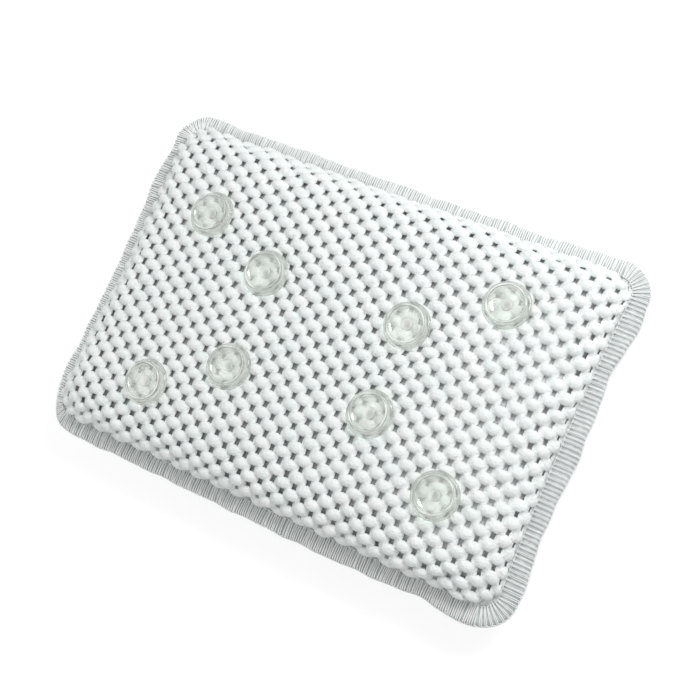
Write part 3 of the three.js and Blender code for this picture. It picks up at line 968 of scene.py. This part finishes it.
class Nodes:
    """The node tree of a material or of the world."""

    def __init__(self, owner, shader, output):
        owner.use_nodes = True
        self.tree = owner.node_tree
        self.shader, self.output = self.tree.nodes[shader], self.tree.nodes[output]

    def add(self, kind, values=None, **settings):
        node = self.tree.nodes.new(kind)
        for name, value in settings.items():
            setattr(node, name, value)
        self.give(node, values or {})
        return node

    def give(self, node, values):
        """Sets each input to a value, or joins another node's output to it."""
        for name, value in values.items():
            if isinstance(value, bpy.types.NodeSocket):
                self.tree.links.new(value, node.inputs[name])
            else:
                node.inputs[name].default_value = value

    def show(self, shader):
        self.tree.links.new(shader.outputs[0], self.output.inputs[0])

    def set(self, **values):
        self.give(self.shader, {name.replace("_", " "): value for name, value in values.items()})

    def noise(self, scale, detail, roughness=0.5):
        values = {"Vector": self.place, "Scale": scale, "Detail": detail, "Roughness": roughness}
        return self.add("ShaderNodeTexNoise", values).outputs["Fac"]

    def cells(self, scale):
        return self.add("ShaderNodeTexVoronoi", {"Vector": self.place, "Scale": scale}).outputs["Distance"]

    def ramp(self, value, *stops):
        """A colour, or a level of grey, for each value: the stops are positions with either."""
        node = self.add("ShaderNodeValToRGB", {"Fac": value})
        elements = node.color_ramp.elements
        while len(elements) < len(stops):
            elements.new(0.5)
        for element, (position, colour) in zip(elements, stops):
            element.position = position
            element.color = (*colour, 1) if isinstance(colour, tuple) else grey(colour)
        return node.outputs["Color"]

    def mix(self, share, a, b, blend="MIX"):
        values = {0: share, 6: a, 7: b if isinstance(b, bpy.types.NodeSocket) else (*b, 1)}
        return self.add("ShaderNodeMix", values, data_type="RGBA", blend_type=blend).outputs[2]

    def math(self, operation, a, b=0.0):
        return self.add("ShaderNodeMath", {0: a, 1: b}, operation=operation).outputs[0]

    def bump(self, height, distance, strength, under=None):
        values = {"Height": height, "Distance": distance, "Strength": strength}
        if under is not None:
            values["Normal"] = under
        return self.add("ShaderNodeBump", values).outputs["Normal"]

    def seen_directly(self):
        """1 for rays that show the background, 0 for rays that light the object."""
        path = self.add("ShaderNodeLightPath").outputs
        mirrored = self.math("MAXIMUM", path["Is Camera Ray"], path["Is Glossy Ray"])
        return self.math("MAXIMUM", mirrored, path["Is Transmission Ray"])


class Material(Nodes):
    def __init__(self, name):
        self.material = bpy.data.materials.new(name)
        super().__init__(self.material, "Principled BSDF", "Material Output")
        self.place = self.add("ShaderNodeTexCoord").outputs["Object"]


def bead_foam():
    """White foam coating with a fine matt grain."""
    n = Material("bead_foam")
    cloudy, grain, pores, lumps = n.noise(90, 3), n.noise(1500, 3, 0.6), n.cells(1300), n.noise(650, 2)
    tone = n.ramp(cloudy, (0.3, (0.83, 0.885, 0.87)), (0.52, (0.87, 0.91, 0.90)), (0.7, (0.905, 0.915, 0.91)))
    grainy = n.bump(grain, 0.0004, 0.9, under=n.bump(lumps, 0.0009, 0.8))
    n.set(Base_Color=n.mix(0.6, tone, n.ramp(pores, (0.0, 0.88), (0.22, 1.0)), "MULTIPLY"),
          Roughness=n.ramp(grain, (0.3, 0.46), (0.7, 0.62)),
          Normal=n.bump(pores, 0.0002, 0.8, under=grainy), Specular_IOR_Level=0.4)
    return n.material


def pressed_foam():
    """The same mesh pressed flat and sewn through, greyer in patches where the coating is thin, and darker overall
    as painted shade between the thread loops.
    """
    n = Material("pressed_foam")
    cells, grain = n.cells(240), n.noise(1300, 3, 0.6)
    # painted shade: the whole tone is set darker for the shade in the gaps between the thread loops
    tone = n.ramp(cells, (0.1, (0.66, 0.70, 0.69)), (0.6, (0.48, 0.52, 0.515)))
    n.set(Base_Color=n.mix(n.math("MULTIPLY", grain, 0.3), tone, (0.72, 0.76, 0.75)),
          Roughness=n.ramp(grain, (0.3, 0.5), (0.7, 0.7)),
          Normal=n.bump(grain, 0.00012, 0.5, under=n.bump(cells, 0.0005, 0.6)), Specular_IOR_Level=0.4)
    return n.material


def core_foam():
    """Open-celled grey foam, paler towards its ends as painted light falling into the holes there, and paler down
    its flanks.
    """
    n = Material("core_foam")
    cells, cloudy = n.cells(900), n.noise(150, 3)
    place = n.add("ShaderNodeSeparateXYZ", {"Vector": n.place}).outputs
    along = n.add("ShaderNodeMapRange", {"Value": place["X"], "From Min": -CROWN_HALF_X,
                                         "From Max": CROWN_HALF_X}).outputs["Result"]
    rise = n.math("ABSOLUTE", n.math("SUBTRACT", place["Z"], SEAM))
    # painted light: paler towards both ends, most at the far end on the key lamp's side
    ends = n.ramp(along, (0.02, 0.6), (0.18, 0.0), (0.56, 0.0), (0.94, 1.0))
    flanks = n.ramp(n.math("DIVIDE", rise, CROWN_HEIGHT - CORE_INSET), (0.35, 0.6), (0.85, 0.0))
    tone = n.ramp(cells, (0.05, (0.30, 0.32, 0.315)), (0.45, (0.62, 0.645, 0.64)))
    body = n.mix(n.math("MULTIPLY", cloudy, 0.5), tone, (0.50, 0.525, 0.52))
    n.set(Base_Color=n.mix(n.math("MAXIMUM", ends, flanks), body, (0.93, 0.95, 0.945)),
          Roughness=n.ramp(cloudy, (0.3, 0.85), (0.7, 0.95)),
          Normal=n.bump(cells, 0.0004, 0.8), Specular_IOR_Level=0.2)
    return n.material


def sewing_thread():
    """Bulky white overlock yarn."""
    n = Material("sewing_thread")
    plies, patches = n.noise(2600, 2), n.noise(160, 2)
    tone = n.ramp(plies, (0.3, (0.84, 0.865, 0.86)), (0.65, (0.93, 0.945, 0.94)))
    n.set(Base_Color=n.mix(n.math("MULTIPLY", patches, 0.3), tone, (0.89, 0.91, 0.905)),
          Roughness=n.ramp(plies, (0.3, 0.6), (0.7, 0.8)),
          Normal=n.bump(plies, 0.00012, 0.7), Sheen_Weight=0.25, Specular_IOR_Level=0.3)
    return n.material


def clear_pvc(name, depth, transmission, patchy=0.93):
    """Soft clear moulding with an uneven haze: depth is how pale it is, patchy how dark its patches are."""
    n = Material(name)
    haze, ripples = n.noise(420, 3), n.noise(160, 1)
    tones = (0.745, 0.765, 0.735), (0.80, 0.815, 0.79)
    tone = n.ramp(haze, *zip((0.3, 0.7), [tuple(value * depth for value in tone) for tone in tones]))
    patches = n.ramp(n.noise(75, 1), (0.42, patchy), (0.58, 1.0))
    n.set(Base_Color=n.mix(1.0, tone, patches, "MULTIPLY"), Roughness=n.ramp(haze, (0.35, 0.05), (0.75, 0.13)),
          Normal=n.bump(ripples, 0.0004, 0.35), IOR=1.45, Transmission_Weight=transmission,
          Coat_Weight=0.7, Coat_Roughness=0.03)
    through = n.add("ShaderNodeBsdfTransparent", {"Color": (0.93, 0.96, 0.94, 1)})
    shadow_ray = n.add("ShaderNodeLightPath").outputs["Is Shadow Ray"]
    n.show(n.add("ShaderNodeMixShader", {0: shadow_ray, 1: n.shader.outputs[0], 2: through.outputs[0]}))
    return n.material


# --- stage ---

def floor():
    """A floor that looks white and keeps the object's shadow."""
    half = 6.0
    corners = [(-x * half, -y * half, 0) for x, y in QUADRANTS]
    piece = mesh_object("floor", corners, [(0, 1, 2, 3)], smooth=False)
    n = Material("floor_white")
    plain = n.add("ShaderNodeBsdfDiffuse", {"Color": grey(0.86)})
    darker = n.add("ShaderNodeBsdfDiffuse", {"Color": grey(0.26)})
    glow = n.add("ShaderNodeEmission", {"Strength": 0.81})
    both = n.add("ShaderNodeAddShader", {0: darker.outputs[0], 1: glow.outputs[0]})
    n.show(n.add("ShaderNodeMixShader", {0: n.seen_directly(), 1: plain.outputs[0], 2: both.outputs[0]}))
    n.tree.nodes.remove(n.shader)
    piece.data.materials.append(n.material)


def world():
    sky = bpy.data.worlds.new("studio")
    scene.world = sky
    n = Nodes(sky, "Background", "World Output")
    strength = n.add("ShaderNodeMapRange", {"Value": n.seen_directly(), "To Min": 0.5})
    n.set(Color=grey(1), Strength=strength.outputs[0])


def soft_light(name, place, target, size, power):
    light = bpy.data.lights.new(name, "AREA")
    light.shape = "DISK"
    light.size = size
    light.energy = power
    lamp = placed(name, light)
    lamp.location = place
    lamp.rotation_euler = (Vector(target) - Vector(place)).to_track_quat("-Z", "Y").to_euler()


def camera(place, target, roll, lens):
    """A camera aimed at its target and rolled by that angle in degrees."""
    forward = (Vector(target) - Vector(place)).normalized()
    level = forward.cross(Vector((0, 0, 1))).normalized()
    upright = level.cross(forward)
    angle = math.radians(roll)
    right = level * math.cos(angle) + upright * math.sin(angle)
    up = right.cross(forward)
    data = bpy.data.cameras.new("camera")
    data.lens = lens
    data.sensor_width = 36.0
    made = placed("camera", data)
    made.matrix_world = Matrix.Translation(place) @ Matrix((right, up, -forward)).transposed().to_4x4()
    scene.camera = made


# --- the scene ---

camera((0.37436, -0.0954, 0.87345), (0.01047, 0.00403, 0.025), roll=-51.17, lens=77.143)

necks = cup_necks()
foam = bead_foam()
pressed = pressed_foam()
thread = sewing_thread()
clear = [
    clear_pvc("clear_pvc", depth=1.07, transmission=0.78, patchy=0.88),
    # painted shade: the wall and flange are darker, partly for their thicker plastic, partly for the shade on the
    # cup's flank
    clear_pvc("clear_pvc_wall", depth=0.86, transmission=0.78),
    clear_pvc("clear_pvc_stalk", depth=1.12, transmission=0.2),
    clear_pvc("clear_pvc_pip", depth=1.12, transmission=0.5),
    # painted highlight: the lip is paler and milkier, and its darker patches break that bright ring into crescents
    clear_pvc("clear_pvc_lip", depth=1.2, transmission=0.4, patchy=0.6),
]

swell(necks)
back = bead_mesh("back_mesh", 1, necks)
dress(back, "back_cover", foam)
front = bead_mesh("front_mesh", -1, [])
dress(front, "front_cover", foam)
dress(band_flange("back_flange", 1, pressed, foam), "back_cover")
dress(band_flange("front_flange", -1, pressed, foam), "front_cover")
core = foam_core("core_foam_block", necks)
dress(core, "foam_core", core_foam())
dress(looper_thread("upper_looper_loops", 1), "upper_looper_thread", thread)
dress(looper_thread("lower_looper_loops", -1), "lower_looper_thread", thread)
dress(needle_stitches("needle_stitches"), "needle_thread", thread)
for index, (_, foot, axis) in enumerate(necks, 1):
    cup = suction_cup(f"clear_cup_{index}", foot, axis, clear)
    dress(cup, f"suction_cup_{index}", body=f"cup_{index}")

floor()
world()
soft_light("key", (0.42, 0.60, 0.74), (0.0, 0.0, 0.03), size=0.5, power=5.8)
soft_light("fill", (-0.5, -0.5, 1.2), (0.0, 0.0, 0.03), size=1.0, power=2.4)
soft_light("far_corner", (0.34, 0.27, 0.34), (0.15, 0.09, 0.04), size=0.3, power=0.16)
soft_light("near_corner", (-0.42, -0.10, 0.34), (-0.16, -0.05, 0.03), size=0.4, power=0.19)

scene.view_settings.view_transform = "Standard"
